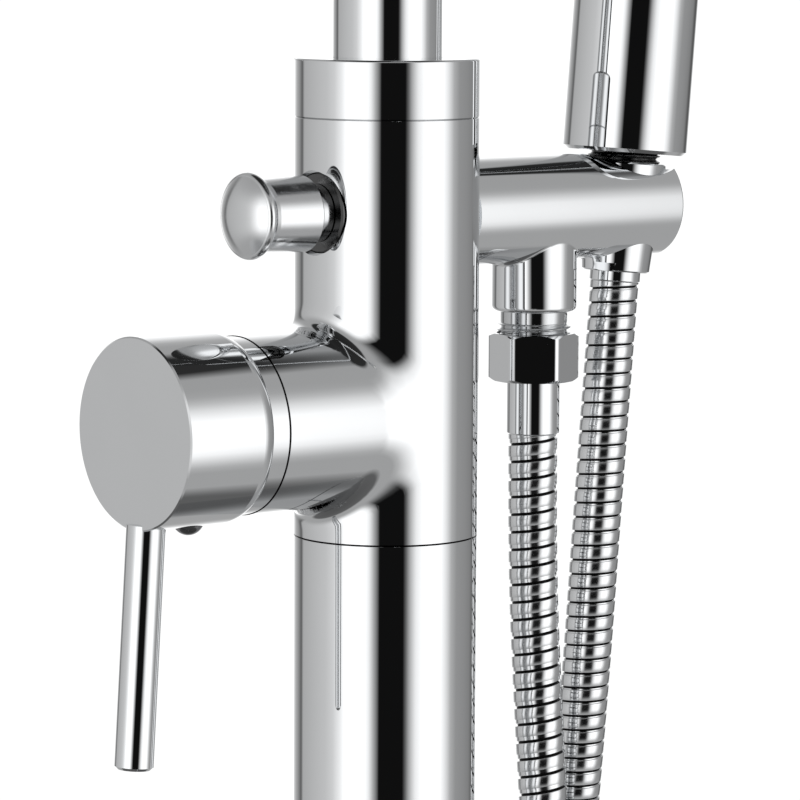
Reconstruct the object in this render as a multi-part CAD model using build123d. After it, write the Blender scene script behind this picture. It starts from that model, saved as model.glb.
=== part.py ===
from build123d import *
from math import pi, radians, tan
import os

# A floor-standing bath filler in chromed brass, with a hand shower on a hose.
#
# Millimetres, +Z up. The origin is the centre of the floor plate's underside.
# +X is the hand-shower arm's side, -X the mixer handle's side, and -Y the spout's side.

# Column and floor
TUBE_R = 25.4            # column, mixer body and collar
TUBE_WALL = 1.5
COLUMN_LENGTH = 741.0    # lower column, between the floor plate and the mixer body
PLATE_R = 55.0
PLATE_T = 8.0
PLATE_HUB_H = 24.0
PLATE_HUB_WALL = 2.6
FLOOR_BOLT_R = 4.5
FLOOR_BOLT_PCD = 84.0
FLOOR_BOLTS = 4
COVER_R = 62.0
COVER_H = 16.0
COVER_WALL = 1.5
COVER_NECK_H = 7.0
COLUMN_SCREWS = 3
COLUMN_SCREW_R = 2.5
COLUMN_SCREW_Z = 20.0

# Supply
SUPPLY_SPACING = 20.0    # hot and cold, along Y
SUPPLY_R = 6.0
SUPPLY_WALL = 1.0
INLET_R = 10.4
INLET_BORE_R = 7.475     # G 3/8 female, minor radius
INLET_BORE_L = 14.0
INLET_H = 24.0
INLET_LOW = (30.0, 62.0)  # underside of the cold and of the hot inlet: staggered, to get a spanner in
PASSAGE_R = 4.0

# Mixer body
BODY_H = 115.0           # seam to seam
MIXER_RISE = 33.5        # mixer axis above the lower seam
KNOB_RISE = 89.5         # knob's axis above the lower seam
ARM_RISE = 87.7          # arm's axis above the lower seam
NECK_R = 24.2
NECK_L = 51.0            # from the column's axis
NECK_FILLET = 8.5
SPIGOT_DROP = 18.0       # body inside the lower column
SPIGOT_RISE = 10.0       # body inside the collar
SPIGOT_R = 22.0
SEAM = 0.25              # chamfer that shows as a fine line at a joint
COLLAR_H = 16.0

# Spout
SPOUT_R = 15.0
SPOUT_WALL = 1.5
SPOUT_RISE = 122.0       # straight riser above the collar
SPOUT_BEND = 105.0       # radius of the gooseneck
SPOUT_DROP = 22.0        # straight end below the bend
SWIVEL_BORE_R = 18.0
SWIVEL_DEPTH = 26.0      # swivel bore below the spigot's top
FOOT_R = 16.8
FOOT_H = 4.0
AERATOR_R = 15.0
AERATOR_H = 9.0
AERATOR_INSERT_R = 10.5

# Mixer cartridge, along -X from the column's axis
CARTRIDGE_R = 17.5
CARTRIDGE_START = 12.0
CARTRIDGE_END = 34.0
CARTRIDGE_FLOOR = 7.0
CARTRIDGE_BORE_R = 13.0
SHOULDER_R = 14.5
SHOULDER_END = 38.0
DISC_T = 3.0
FIXED_DISC_R = 12.8
MOVING_DISC_R = 11.0
PORT_R = 3.0
PORT_OFFSET = 9.2
OUTLET_OFFSET = 9.0
NUT_R = 19.5             # cartridge nut, and the trim ring's spigot
NUT_END = 42.0
PIVOT = 33.0
PIVOT_PIN_R = 1.5
SPINDLE_R = 3.9
SPINDLE_SQUARE = 7.0
SPINDLE_END = 77.0
SPINDLE_GAP = 3.4        # spindle short of the rotor, so that it can tilt
RING_R = 24.0
RING_END = 57.0
RING_BORE_R = 18.4

# Handle
CAP_R = 25.8
CAP_START = 57.0
CAP_END = 84.5
CAP_WALL = 1.25
CAP_FACE = 3.5
CAP_ROUND = 6.0
CAP_LIP = 0.4
HUB_R = 7.0
HUB_START = 62.0
LEVER_R = 5.3
LEVER_BEHIND_FACE = 5.4
LEVER_LENGTH = 63.9      # below the cap
LEVER_LEAN = 3.6
LEVER_THREAD_R = 3.0
LEVER_THREAD_L = 9.0
PLUG_BEHIND_FACE = 17.5
PLUG_R = 4.0
PLUG_RISE = 2.5
GRUB_R = 2.5
GRUB_L = 16.0

# Diverter, along -X
RECESS_R = 11.5
RECESS_FLOOR = 22.0      # distance of the recess floor from the column's axis
CHAMBER_R = 8.5
CHAMBER_END = 8.5        # on the arm's side
DIVERTER_TRAVEL = 8.0
BUSH_FLANGE_R = 11.0
BUSH_FLANGE_T = 2.0
BUSH_DEPTH = 10.0
ROD_R = 2.5
ROD_END = 40.0
KNOB_R = 11.75
KNOB_END = 51.8
KNOB_STEM_R = 9.8
KNOB_FLARE_R = 10.4
KNOB_SHOULDER = 29.0
KNOB_SHAFT_R = 7.9
VALVE_R = 6.8
VALVE_T = 3.0
SEAT_T = 1.5
SEAT_BORE_R = 4.2
SPOUT_PORT_X = -9.0
SPOUT_PORT_R = 4.0
INLET_PORT_X = 1.5
SPRING_R = 3.4
SPRING_WIRE_R = 0.4
SPRING_PITCH = 2.1

# Hand-shower arm
ARM_R = 15.0
ARM_START = 21.4         # flat end in the body's spot face
ARM_END = 102.5
ARM_DOME_R = 20.0
ARM_PASSAGE_R = 5.0
UNION_R = 8.0
UNION_GRIP = 9.0         # length in the body and in the arm
OUTLET_X = 53.0
BOSS_R = 12.0
BOSS_DROP = 28.8
BOSS_FILLET = 1.2
NIPPLE_NECK_R = 9.5
NIPPLE_NECK_L = 3.2
NIPPLE_SPIGOT_R = 8.2
NIPPLE_SPIGOT_L = 12.0
THREAD_R = 10.4775       # G 1/2
NIPPLE_THREAD_L = 10.8
VALVE_INSERT_R = 6.5

# Cradle and hand shower, on a leaning axis
CRADLE_X = 85.0
LEAN = 5.0
SLOT_W = 14.8
MOUTH_R = 3.5            # radius of the 45-degree mouth at the arm's axis
CONE_LOW = -19.2
CONE_HIGH = 12.0
CONE_LOW_R = 9.75
CONE_HIGH_R = 12.3
CONE_FLATS = 18.8
CONE_FLAT_H = 2.4
CONE_FLAT_TURN = -60.5
CONE_STEP = -0.5         # seat of the hose's flange in the nut
HOSE_END_LOW = -22.2
HOSE_SLEEVE_R = 7.3
HOSE_FLANGE_R = 10.2
HANDSET_R = 17.8
HANDSET_LOW = 14.8
HANDSET_L = 205.0
HANDSET_WALL = 1.5
HANDSET_FLOOR = 3.0
INLET_FLANGE_R = 13.0
INLET_FLANGE_T = 4.0
INLET_NECK_R = 9.95
WATER_TUBE_R = 6.5
SPRAY_DEPTH = 12.0
SPRAY_PLATE_T = 3.0
NOZZLE_R = 1.2
NOZZLE_RINGS = ((5.0, 6), (10.5, 12))

# Hose
HOSE_R = 7.0
HOSE_NUT_AF = 22.6
HOSE_NUT_EDGE = 2.2      # rounding of its six corners
HOSE_NUT_H = 13.4
HOSE_NUT_LIP = 2.7
HOSE_NUT_TURN = 21.2
WASHER_T = 1.5
FERRULE_R = 7.5
FERRULE_L = 17.9

# Clearances
RUN = 0.05               # radial, a shaft in its bore
FIT = 0.02               # radial, a thread or a press
SWING = 0.35             # cap over trim ring

# Heights that follow
BODY_LOW = PLATE_T + COLUMN_LENGTH
BODY_HIGH = BODY_LOW + BODY_H
MIXER_Z = BODY_LOW + MIXER_RISE
KNOB_Z = BODY_LOW + KNOB_RISE
ARM_Z = BODY_LOW + ARM_RISE
COLLAR_HIGH = BODY_HIGH + COLLAR_H
SWIVEL_TOP = BODY_HIGH + SPIGOT_RISE
SWIVEL_LOW = SWIVEL_TOP - SWIVEL_DEPTH
TUBE_FOOT = SWIVEL_LOW + FOOT_H + 0.5
BEND_Z = COLLAR_HIGH + SPOUT_RISE
NIPPLE_LOW = ARM_Z - BOSS_DROP - NIPPLE_NECK_L - NIPPLE_THREAD_L
FERRULE_TOP = NIPPLE_LOW - WASHER_T
FERRULE_FLANGE_LOW = FERRULE_TOP - WASHER_T
HOSE_START = FERRULE_FLANGE_LOW - FERRULE_L
HANDSET_HIGH = HANDSET_LOW + HANDSET_L
NECK_LOW = CONE_STEP + 2 * WASHER_T

LEANING = Pos(CRADLE_X, 0, ARM_Z) * Rot(0, LEAN, 0)
LEVER_PLACE = Pos(LEVER_BEHIND_FACE - CAP_END, 0, MIXER_Z) * Rot(0, LEVER_LEAN, 0)

# The hose's route: each point is where two straight runs would meet, and arcs round them.
# It hangs straight from the ferrule, crosses itself, and comes back up on the cradle's axis.
HOSE_ROUTE = [
    (53.0, 0.0, 738.0),
    (53.8, -1.7, 701.0),
    (54.3, -6.6, 645.0),
    (55.5, -14.5, 574.0),
    (60.0, -26.0, 494.0),
    (69.5, -40.0, 414.0),
    (83.5, -54.5, 335.0),
    (100.0, -66.0, 254.0),
    (116.0, -73.0, 174.0),
    (107.0, -57.0, 127.0),
    (87.0, -22.0, 99.0),
    (62.0, 22.0, 99.0),
    (41.0, 57.0, 127.0),
    (32.0, 73.0, 174.0),
    (40.0, 60.5, 232.0),
    (47.0, 48.0, 306.0),
    (54.0, 34.5, 382.0),
    (60.0, 21.5, 460.0),
    (65.0, 11.8, 540.0),
    (70.0, 4.8, 622.0),
    (74.5, 1.0, 700.0),
]
HOSE_TAIL = -80.0        # last corner, on the cradle's axis


def rod_z(radius, low, high, x=0.0, y=0.0):
    """A round bar along Z."""
    return Pos(x, y, (low + high) / 2) * Cylinder(radius, high - low)


def tube_z(outer, inner, low, high, x=0.0, y=0.0):
    """A round tube along Z."""
    return rod_z(outer, low, high, x, y) - rod_z(inner, low - 1, high + 1, x, y)


def rod_x(radius, start, end, z, y=0.0):
    """A round bar along X."""
    return Pos((start + end) / 2, y, z) * Rot(0, 90, 0) * Cylinder(radius, end - start)


def tube_x(outer, inner, start, end, z):
    """A round tube along X."""
    return rod_x(outer, start, end, z) - rod_x(inner, start - 1, end + 1, z)


def ring_x(major, minor, x, z, y=0.0):
    """A seal ring round an axis along X."""
    return Pos(x, y, z) * Rot(0, 90, 0) * Torus(major, minor)


def turned(*outline):
    """A turned part: its half outline in (radius, height), closed, round the Z axis."""
    return revolve(Plane.XZ * make_face(Polyline(*outline, close=True)), Axis.Z)


def turned_mixer(shape):
    """Stands a part that was turned on Z on the mixer's axis, with its height along -X."""
    return Pos(0, 0, MIXER_Z) * Rot(0, -90, 0) * shape


def edges_at(shape, radius, height, axis=Axis.Z):
    """The round edges of one radius at one height along an axis."""
    near = shape.edges().filter_by(GeomType.CIRCLE).filter_by(lambda e: abs(e.radius - radius) < 0.01)
    return near.filter_by_position(axis, height - 0.01, height + 0.01)


# ---- Floor fixing and column ----

def floor_plate():
    hub_r = TUBE_R - TUBE_WALL - FIT
    plate = rod_z(PLATE_R, 0, PLATE_T) + rod_z(hub_r, 0, PLATE_T + PLATE_HUB_H)
    plate -= rod_z(hub_r - PLATE_HUB_WALL, -1, PLATE_T + PLATE_HUB_H + 1)
    plate -= PolarLocations(FLOOR_BOLT_PCD / 2, FLOOR_BOLTS, 45) * Cylinder(FLOOR_BOLT_R, 3 * PLATE_T)
    plate -= screw_bars(COLUMN_SCREW_R, 1)
    return plate


def screw_bars(radius, past=0.0):
    """Bars where the grub screws that hold the column on its hub run, or are cut, radially."""
    length = TUBE_WALL + PLATE_HUB_WALL + FIT
    bar = Pos(TUBE_R - length / 2, 0, COLUMN_SCREW_Z) * Rot(0, 90, 0) * Cylinder(radius, length + 2 * past)
    return Compound([Rot(0, 0, turn * 360 / COLUMN_SCREWS) * bar for turn in range(COLUMN_SCREWS)])


def lower_column():
    tube = tube_z(TUBE_R, TUBE_R - TUBE_WALL, PLATE_T, BODY_LOW)
    tube = chamfer(edges_at(tube, TUBE_R, BODY_LOW), SEAM)
    return tube - screw_bars(COLUMN_SCREW_R, 1)


def column_screws():
    return screw_bars(COLUMN_SCREW_R - FIT)


def floor_cover():
    neck_r = TUBE_R + 3.0
    bore_r = TUBE_R + 0.2
    shell = turned(
        (COVER_R - COVER_WALL, 0), (COVER_R, 0), (COVER_R, COVER_H - 3), (COVER_R - 3, COVER_H),
        (neck_r, COVER_H), (neck_r, COVER_H + COVER_NECK_H), (bore_r, COVER_H + COVER_NECK_H),
        (bore_r, COVER_H - COVER_WALL), (COVER_R - 4, COVER_H - COVER_WALL),
        (COVER_R - COVER_WALL, COVER_H - 3 - COVER_WALL),
    )
    return fillet(edges_at(shell, neck_r, COVER_H + COVER_NECK_H), 1.0)


# ---- Supply ----

def supply_inlet(y, low):
    top = low + INLET_H
    body = rod_z(INLET_R, low, top, y=y)
    body = chamfer(edges_at(body, INLET_R, top), 1.5)
    body -= rod_z(INLET_BORE_R, low - 1, low + INLET_BORE_L, y=y)
    body -= rod_z(SUPPLY_R - SUPPLY_WALL, low, top, y=y)
    return body - rod_z(SUPPLY_R + FIT, top - 6, top + 1, y=y)


def supply_tube(y, low):
    start = low + INLET_H - 6
    return tube_z(SUPPLY_R, SUPPLY_R - SUPPLY_WALL, start, BODY_LOW - 2, y=y)


# ---- Mixer body ----

def mixer_body():
    body = rod_z(TUBE_R, BODY_LOW, BODY_HIGH) + rod_x(NECK_R, -NECK_L, 0, MIXER_Z)
    meeting = [e for e in body.edges() if e.geom_type not in (GeomType.CIRCLE, GeomType.LINE)]
    body = fillet(meeting, NECK_FILLET)
    body = chamfer(edges_at(body, NECK_R, -NECK_L, Axis.X), SEAM)
    body = chamfer(edges_at(body, TUBE_R, BODY_LOW) + edges_at(body, TUBE_R, BODY_HIGH), SEAM)
    body += rod_z(TUBE_R - TUBE_WALL - FIT, BODY_LOW - SPIGOT_DROP, BODY_LOW)
    body += rod_z(SPIGOT_R, BODY_HIGH, SWIVEL_TOP)
    body -= rod_z(SWIVEL_BORE_R, SWIVEL_LOW, SWIVEL_TOP + 1)
    body -= seal_groove()
    body -= water_ways()
    body -= rod_x(CARTRIDGE_R + FIT, -CARTRIDGE_END, -CARTRIDGE_START, MIXER_Z)
    body -= rod_x(NUT_R + FIT, -NECK_L - 1, -CARTRIDGE_END, MIXER_Z)
    body -= rod_x(CHAMBER_R, -RECESS_FLOOR - 1, CHAMBER_END, KNOB_Z)
    body -= rod_x(RECESS_R, -TUBE_R - 1, -RECESS_FLOOR, KNOB_Z)
    body -= rod_x(UNION_R + FIT, ARM_START - UNION_GRIP, ARM_START, ARM_Z)
    return body - rod_x(ARM_R + 0.3, ARM_START, TUBE_R + 1, ARM_Z)


def seal_groove():
    seal_z = BODY_LOW - SPIGOT_DROP / 2
    return tube_z(TUBE_R, TUBE_R - TUBE_WALL - 2.2, seal_z - 1.1, seal_z + 1.1)


def column_seal():
    return Pos(0, 0, BODY_LOW - SPIGOT_DROP / 2) * Torus(TUBE_R - TUBE_WALL - 1.08, 1.0)


def water_ways():
    """Hot and cold up to the cartridge, mixed water to the diverter, and on to spout and arm."""
    ways = rod_x(ARM_PASSAGE_R, CHAMBER_END - 1, ARM_START, ARM_Z)
    for y in (-SUPPLY_SPACING / 2, SUPPLY_SPACING / 2):
        ways += rod_z(SUPPLY_R + FIT, BODY_LOW - SPIGOT_DROP - 1, BODY_LOW - 2, y=y)
        ways += rod_z(PASSAGE_R, BODY_LOW - 3, MIXER_Z, y=y)
    for side in (-1, 1):
        ways += rod_x(PORT_R, -CARTRIDGE_START - 1, 0, MIXER_Z, side * PORT_OFFSET)
    ways += rod_x(PORT_R, -CARTRIDGE_START - 1, INLET_PORT_X, MIXER_Z + OUTLET_OFFSET)
    ways += rod_z(PASSAGE_R, MIXER_Z + OUTLET_OFFSET - PORT_R, KNOB_Z, INLET_PORT_X)
    return ways + rod_z(SPOUT_PORT_R, KNOB_Z, SWIVEL_LOW + 1, SPOUT_PORT_X)


def collar():
    ring = tube_z(TUBE_R, SPOUT_R + 0.1, BODY_HIGH, COLLAR_HIGH)
    ring -= rod_z(SPIGOT_R + FIT, BODY_HIGH - 1, SWIVEL_TOP + 0.1)
    ring = chamfer(edges_at(ring, TUBE_R, BODY_HIGH), SEAM)
    return fillet(edges_at(ring, TUBE_R, COLLAR_HIGH), 0.7)


# ---- Spout, which swivels in the body's top ----

def spout_bush():
    return tube_z(SWIVEL_BORE_R - FIT, SPOUT_R + RUN, TUBE_FOOT + 0.1, SWIVEL_TOP - 0.1)


def spout_line():
    riser = Line((0, 0, TUBE_FOOT), (0, 0, BEND_Z))
    over = Line((0, -2 * SPOUT_BEND, BEND_Z), (0, -2 * SPOUT_BEND, BEND_Z - SPOUT_DROP))
    bend = ThreePointArc((0, 0, BEND_Z), (0, -SPOUT_BEND, BEND_Z + SPOUT_BEND), (0, -2 * SPOUT_BEND, BEND_Z))
    return Wire([riser.edge(), bend.edge(), over.edge()])


def spout_tube():
    line = spout_line()
    outer = sweep(Plane(origin=line @ 0, z_dir=line % 0) * Circle(SPOUT_R), path=line)
    inner = sweep(Plane(origin=line @ 0, z_dir=line % 0) * Circle(SPOUT_R - SPOUT_WALL), path=line)
    return outer - inner


def spout_foot():
    """The turned foot in the tube's end, whose flange stops the tube from being drawn out."""
    low = SWIVEL_LOW + 0.3
    foot = rod_z(FOOT_R, low, TUBE_FOOT) + rod_z(SPOUT_R - SPOUT_WALL - FIT, TUBE_FOOT, TUBE_FOOT + 14)
    foot -= rod_z(SPOUT_R - SPOUT_WALL - 3, low - 1, TUBE_FOOT + 15)
    return foot - tube_z(FOOT_R + 1, FOOT_R - 1.9, low + 0.9, low + 2.9)


def spout_seal():
    return Pos(0, 0, SWIVEL_LOW + 2.2) * Torus(FOOT_R - 0.85, 0.95)


def aerator_place():
    return Pos(0, -2 * SPOUT_BEND, BEND_Z - SPOUT_DROP)


def aerator_housing():
    inner = SPOUT_R - SPOUT_WALL
    body = turned(
        (AERATOR_INSERT_R, -AERATOR_H), (AERATOR_R - 0.6, -AERATOR_H), (AERATOR_R, 0.6 - AERATOR_H),
        (AERATOR_R, 0), (inner - FIT, 0), (inner - FIT, 7), (AERATOR_INSERT_R, 7),
    )
    return aerator_place() * body


def aerator_insert():
    body = rod_z(AERATOR_INSERT_R - FIT, 0.8 - AERATOR_H, 5)
    for ring_r, count in ((2.8, 6), (5.6, 12), (8.3, 18)):
        body -= PolarLocations(ring_r, count) * Cylinder(0.9, 3 * AERATOR_H)
    return aerator_place() * body


def aerator_washer():
    return aerator_place() * tube_z(SPOUT_R - SPOUT_WALL - 0.2, AERATOR_INSERT_R - 2, 7, 9)


# ---- Mixer cartridge ----

def port_bores(start, end):
    """The three water ports of the cartridge, along X."""
    bores = rod_x(PORT_R, -end, -start, MIXER_Z + OUTLET_OFFSET)
    for side in (-1, 1):
        bores += rod_x(PORT_R, -end, -start, MIXER_Z, side * PORT_OFFSET)
    return bores


def cartridge_body():
    floor = CARTRIDGE_START + CARTRIDGE_FLOOR
    body = rod_x(CARTRIDGE_R, -CARTRIDGE_END, -CARTRIDGE_START - 0.2, MIXER_Z)
    body += rod_x(SHOULDER_R, -SHOULDER_END, -CARTRIDGE_END, MIXER_Z)
    body -= rod_x(CARTRIDGE_BORE_R, -SHOULDER_END - 1, -floor, MIXER_Z)
    body -= port_bores(CARTRIDGE_START, floor + 1)
    for z, y in ((OUTLET_OFFSET, 0), (0, -PORT_OFFSET), (0, PORT_OFFSET)):
        body -= rod_x(PORT_R + 1.4, -CARTRIDGE_START - 1.5, -CARTRIDGE_START, MIXER_Z + z, y)
    return body


def cartridge_seals():
    rings = [
        tube_x(PORT_R + 1.35, PORT_R + 0.1, -CARTRIDGE_START - 1.5, -CARTRIDGE_START, MIXER_Z).moved(Pos(0, y, z))
        for z, y in ((OUTLET_OFFSET, 0), (0, -PORT_OFFSET), (0, PORT_OFFSET))
    ]
    return Compound(rings)


def fixed_disc():
    floor = CARTRIDGE_START + CARTRIDGE_FLOOR
    return rod_x(FIXED_DISC_R, -floor - DISC_T, -floor, MIXER_Z) - port_bores(floor - 1, floor + DISC_T + 1)


def moving_disc():
    start = CARTRIDGE_START + CARTRIDGE_FLOOR + DISC_T + RUN
    disc = rod_x(MOVING_DISC_R, -start - DISC_T, -start, MIXER_Z)
    return disc - Pos(-start, 0, MIXER_Z) * Box(3.0, 9.0, 6.0)


def rotor_start():
    return CARTRIDGE_START + CARTRIDGE_FLOOR + 2 * DISC_T + 2 * RUN


def cartridge_rotor():
    """The turning carrier, slotted for the spindle's tilt."""
    start = rotor_start()
    body = rod_x(CARTRIDGE_BORE_R - 2 * RUN, 0.2 - SHOULDER_END, -start, MIXER_Z)
    depth = SHOULDER_END - start + 1
    body -= Pos(-start - 2 - depth / 2, 0, MIXER_Z) * Box(depth, 2 * SPINDLE_R + 0.4, 2 * CARTRIDGE_BORE_R - 5)
    return body - pivot_bar(PIVOT_PIN_R)


def pivot_bar(radius):
    return Pos(-PIVOT, 0, MIXER_Z) * Rot(90, 0, 0) * Cylinder(radius, 2 * CARTRIDGE_BORE_R - 2)


def cartridge_spindle():
    body = rod_x(SPINDLE_R, 2 - HUB_START, -rotor_start() - SPINDLE_GAP, MIXER_Z)
    square_l = SPINDLE_END - HUB_START + 2
    body += Pos(-SPINDLE_END + square_l / 2, 0, MIXER_Z) * Box(square_l, SPINDLE_SQUARE, SPINDLE_SQUARE)
    return body - pivot_bar(PIVOT_PIN_R + RUN)


def cartridge_nut():
    ring = tube_x(NUT_R, SHOULDER_R + 0.1, -NUT_END, -CARTRIDGE_END, MIXER_Z)
    for turn in range(0, 360, 90):
        notch = Pos(0, 0, MIXER_Z) * Rot(turn, 0, 0) * Pos(-NUT_END, 0, NUT_R - 1) * Box(5, 4, 5)
        ring -= notch
    return ring


def trim_ring():
    ring = rod_x(RING_R, -RING_END, -NECK_L, MIXER_Z)
    ring = chamfer(edges_at(ring, RING_R, -NECK_L, Axis.X), SEAM)
    ring += rod_x(NUT_R, -NECK_L, -NUT_END - 4, MIXER_Z)
    return ring - rod_x(RING_BORE_R, -RING_END - 1, -NUT_END, MIXER_Z)


# ---- Handle ----

def cap_outline():
    """Half outline of the cap in (radius, distance from the column's axis)."""
    inner = RING_R + SWING
    lip = inner + CAP_LIP
    drop = CAP_R - lip
    back = (CAP_ROUND**2 - (CAP_ROUND - drop) ** 2) ** 0.5
    half = back / 2
    sag = CAP_ROUND - (CAP_ROUND**2 - half**2) ** 0.5
    face = CAP_END - CAP_FACE
    shoulder = CAP_R - CAP_WALL
    lines = [
        ThreePointArc((lip, CAP_START), (CAP_R - sag, CAP_START + half), (CAP_R, CAP_START + back)),
        Polyline((CAP_R, CAP_START + back), (CAP_R, CAP_END - 0.4), (CAP_R - 0.4, CAP_END), (0, CAP_END)),
        Polyline((0, CAP_END), (0, face), (shoulder, face), (shoulder, CAP_START + back), (inner, CAP_START)),
        Line((inner, CAP_START), (lip, CAP_START)),
    ]
    return make_face([edge for line in lines for edge in line.edges()])


def handle_cap():
    cap = turned_mixer(revolve(Plane.XZ * cap_outline(), Axis.Z))
    cap += rod_x(HUB_R, -CAP_END + 1, -HUB_START, MIXER_Z)
    boss_l = 2 * LEVER_THREAD_R + 3
    boss_h = LEVER_THREAD_L + 2
    boss_z = MIXER_Z - CAP_R + CAP_WALL / 2 + boss_h / 2
    cap += Pos(LEVER_BEHIND_FACE - CAP_END, 0, boss_z) * Box(boss_l, boss_l + 2, boss_h)
    square_l = SPINDLE_END - HUB_START + 2
    square = SPINDLE_SQUARE + 2 * FIT
    cap -= Pos(-SPINDLE_END + square_l / 2 - 0.5, 0, MIXER_Z) * Box(square_l + 1, square, square)
    cap -= LEVER_PLACE * rod_z(LEVER_R + FIT, -CAP_R - 4, 1 - CAP_R + CAP_WALL / 4)
    cap -= LEVER_PLACE * rod_z(LEVER_THREAD_R, -CAP_R, -CAP_R + LEVER_THREAD_L + 1.5)
    return cap - Pos(PLUG_BEHIND_FACE - CAP_END, 0, MIXER_Z) * rod_z(GRUB_R, -CAP_R - 1, 0)


def handle_lever():
    seat = 1 - CAP_R + CAP_WALL / 4
    bar = rod_z(LEVER_R, -CAP_R - LEVER_LENGTH, seat)
    bar = chamfer(edges_at(bar, LEVER_R, -CAP_R - LEVER_LENGTH), 0.8)
    return LEVER_PLACE * (bar + rod_z(LEVER_THREAD_R - FIT, seat, seat + LEVER_THREAD_L))


def handle_grub_screw():
    top = -SPINDLE_SQUARE / 2
    screw = rod_z(GRUB_R - FIT, top - GRUB_L, top)
    screw -= Pos(0, 0, top - GRUB_L) * extrude(RegularPolygon(1.4, 6), 2.5)
    return Pos(PLUG_BEHIND_FACE - CAP_END, 0, MIXER_Z) * screw


def handle_plug():
    dome_r = (PLUG_R**2 + PLUG_RISE**2) / (2 * PLUG_RISE)
    dome = Pos(0, 0, -CAP_R - PLUG_RISE + dome_r) * Sphere(dome_r)
    dome &= Pos(0, 0, -CAP_R) * Box(20, 20, 2 * PLUG_RISE + 1)
    dome = Pos(PLUG_BEHIND_FACE - CAP_END, 0, MIXER_Z) * dome
    dome -= rod_x(CAP_R, -CAP_END - 5, 0, MIXER_Z)
    stem_top = -SPINDLE_SQUARE / 2 - GRUB_L
    stem = Pos(PLUG_BEHIND_FACE - CAP_END, 0, MIXER_Z) * rod_z(GRUB_R - FIT, -CAP_R - 0.5, stem_top)
    return dome + stem


# ---- Diverter ----

def diverter_knob():
    """A pull knob: a domed head on a slightly flared stem, and a thin shaft behind."""
    end = KNOB_END
    rim = KNOB_R - 1.0
    profile = [
        Spline((0, end), (KNOB_R * 0.5, end - 0.8), (rim, end - 3.3), tangents=((1, 0), (1, -0.7))),
        ThreePointArc((rim, end - 3.3), (KNOB_R, end - 4.7), (rim, end - 6.0)),
        Line((rim, end - 6.0), (KNOB_STEM_R + 0.1, end - 7.2)),
        Line((KNOB_STEM_R + 0.1, end - 7.2), (KNOB_STEM_R, end - 8.4)),
        Line((KNOB_STEM_R, end - 8.4), (KNOB_FLARE_R, KNOB_SHOULDER + 0.6)),
        Line((KNOB_FLARE_R, KNOB_SHOULDER + 0.6), (KNOB_FLARE_R - 0.6, KNOB_SHOULDER)),
        Line((KNOB_FLARE_R - 0.6, KNOB_SHOULDER), (KNOB_SHAFT_R, KNOB_SHOULDER)),
        Line((KNOB_SHAFT_R, KNOB_SHOULDER), (KNOB_SHAFT_R, knob_back())),
        Line((KNOB_SHAFT_R, knob_back()), (0, knob_back())),
        Line((0, knob_back()), (0, end)),
    ]
    face = make_face([edge for line in profile for edge in line.edges()])
    knob = Pos(0, 0, KNOB_Z) * Rot(0, -90, 0) * revolve(Plane.XZ * face, Axis.Z)
    return knob - rod_x(ROD_R + FIT, -ROD_END, 0, KNOB_Z)


def knob_back():
    return RECESS_FLOOR + BUSH_FLANGE_T + 0.3


def valve_rest():
    """The valve disc's face at rest, against the arm's port."""
    return CHAMBER_END - 0.1


def diverter_rod():
    return rod_x(ROD_R, -ROD_END, valve_rest() - 0.4, KNOB_Z)


def diverter_valve():
    face = valve_rest()
    return rod_x(VALVE_R, face - VALVE_T, face, KNOB_Z) - rod_x(ROD_R + FIT, -ROD_END, face - 0.4, KNOB_Z)


def diverter_seat():
    stop = valve_rest() - VALVE_T - DIVERTER_TRAVEL - 0.2
    return tube_x(CHAMBER_R - FIT, SEAT_BORE_R, stop - SEAT_T, stop, KNOB_Z)


def diverter_bush():
    bush = rod_x(BUSH_FLANGE_R, -RECESS_FLOOR - BUSH_FLANGE_T, -RECESS_FLOOR, KNOB_Z)
    bush = chamfer(edges_at(bush, BUSH_FLANGE_R, -RECESS_FLOOR - BUSH_FLANGE_T, Axis.X), 0.5)
    bush += rod_x(CHAMBER_R - FIT, -RECESS_FLOOR, BUSH_DEPTH - RECESS_FLOOR, KNOB_Z)
    bush -= rod_x(ROD_R + RUN, -RECESS_FLOOR - 5, 0, KNOB_Z)
    return bush - rod_x(4.2, -RECESS_FLOOR + 3, BUSH_DEPTH + 1 - RECESS_FLOOR, KNOB_Z)


def diverter_seals():
    return Compound([ring_x(ROD_R + 0.85, 0.75, -RECESS_FLOOR + step, KNOB_Z) for step in (4.2, 6.4)])


def diverter_spring():
    low = BUSH_DEPTH - RECESS_FLOOR - 2.2
    high = valve_rest() - VALVE_T - SPRING_WIRE_R - 0.1
    coil = Helix(SPRING_PITCH, high - low, SPRING_R)
    wire = sweep(Plane(origin=coil @ 0, z_dir=coil % 0) * Circle(SPRING_WIRE_R), path=coil, is_frenet=True)
    return Pos(low, 0, KNOB_Z) * Rot(0, 90, 0) * wire


# ---- Hand-shower arm ----

def arm_corner():
    """Where the arm's side meets its dome."""
    return ARM_END - ARM_DOME_R + (ARM_DOME_R**2 - ARM_R**2) ** 0.5


def arm_bar():
    """The round bar with its domed end, along X."""
    corner = arm_corner()
    middle = ARM_END - ARM_DOME_R + (ARM_DOME_R**2 - ARM_R**2 / 4) ** 0.5
    outline = [
        Polyline((0, ARM_END), (0, ARM_START), (ARM_R, ARM_START), (ARM_R, corner)),
        ThreePointArc((ARM_R, corner), (ARM_R / 2, middle), (0, ARM_END)),
    ]
    bar = revolve(Plane.XZ * make_face([edge for line in outline for edge in line.edges()]), Axis.Z)
    return Pos(0, 0, ARM_Z) * Rot(0, 90, 0) * bar


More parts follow.
